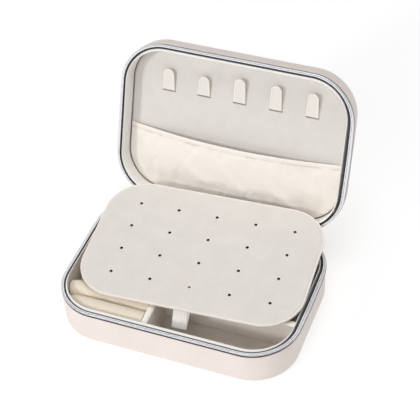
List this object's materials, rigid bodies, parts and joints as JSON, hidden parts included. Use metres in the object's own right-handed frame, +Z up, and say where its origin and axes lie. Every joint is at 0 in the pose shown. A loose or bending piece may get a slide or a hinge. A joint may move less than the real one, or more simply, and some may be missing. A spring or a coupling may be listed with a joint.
{
  "type": "jewelry box",
  "caption": "Zip-round travel jewelry box: open hinged lid with necklace hooks and pocket, tray with ring rolls and dividers, and a loose earring board.",
  "frame": {"origin": "centre of the base's flat underside", "axes": "+Z up, -Y towards the front of the case, +X along the hinge to the right seen from the front"},
  "size_m": [0.21, 0.2181, 0.1689],
  "materials": {
    "blush_leatherette": "fine-grained blush leatherette, satin",
    "greige_microsuede": "microsuede lining, matt",
    "cream_velvet": "short-pile velvet over foam, matt",
    "ivory_leatherette": "smooth ivory leatherette",
    "cream_satin": "soft satin with a low sheen",
    "silver_zip": "silver metallised zip coil and tape edge",
    "nickel_zinc": "nickel-plated zinc casting",
    "white_foam": "closed-cell foam sheet"
  },
  "bodies": {
    "base": {"base_shell": "blush_leatherette", "base_lining": "greige_microsuede", "base_zip_tape": "silver_zip", "base_zip_teeth": "silver_zip", "spine_lower_leaf": "blush_leatherette", "ring_roll_1": "cream_velvet", "ring_roll_2": "cream_velvet", "ring_roll_3": "cream_velvet", "ring_roll_4": "cream_velvet", "ring_roll_5": "cream_velvet", "ring_roll_6": "cream_velvet", "ring_roll_7": "cream_velvet", "ring_roll_8": "cream_velvet", "long_divider": "greige_microsuede", "cross_divider": "greige_microsuede", "rear_divider": "greige_microsuede", "zip_slider": "nickel_zinc"},
    "lid": {"lid_shell": "blush_leatherette", "lid_lining": "greige_microsuede", "lid_padding": "white_foam", "lid_panel": "greige_microsuede", "lid_zip_tape": "silver_zip", "lid_zip_teeth": "silver_zip", "spine_upper_leaf": "blush_leatherette", "lid_pocket": "cream_satin", "pocket_hem": "cream_satin", "necklace_hook_1": "ivory_leatherette", "necklace_hook_2": "ivory_leatherette", "necklace_hook_3": "ivory_leatherette", "necklace_hook_4": "ivory_leatherette", "necklace_hook_5": "ivory_leatherette"},
    "board": {"earring_board": "greige_microsuede", "board_ribbon": "cream_satin"},
    "pull": {"zip_pull": "nickel_zinc"}
  },
  "joints": [
    {"name": "lid_hinge", "type": "hinge", "parent": "base", "child": "lid", "pos_m": [0, 0.072, 0.0353], "axis": [1, 0, 0], "range_deg": [0, 111.7]},
    {"name": "board_carry", "type": "hinge", "parent": "lid", "child": "board", "pos_m": [0, 0.07687, 0.04766], "axis": [0.9995, 0.0244, 0.0182], "range_deg": [-116.75, 0], "deforming": ["board_ribbon"]},
    {"name": "zip_pull_swing", "type": "hinge", "parent": "base", "child": "pull", "pos_m": [-0.0655, 0.07777, 0.028], "axis": [1, 0, 0], "range_deg": [0, 50]}
  ],
  "couplings": [
    {"joint": "board_carry", "follows": "lid_hinge", "ratio": -1.045}
  ]
}
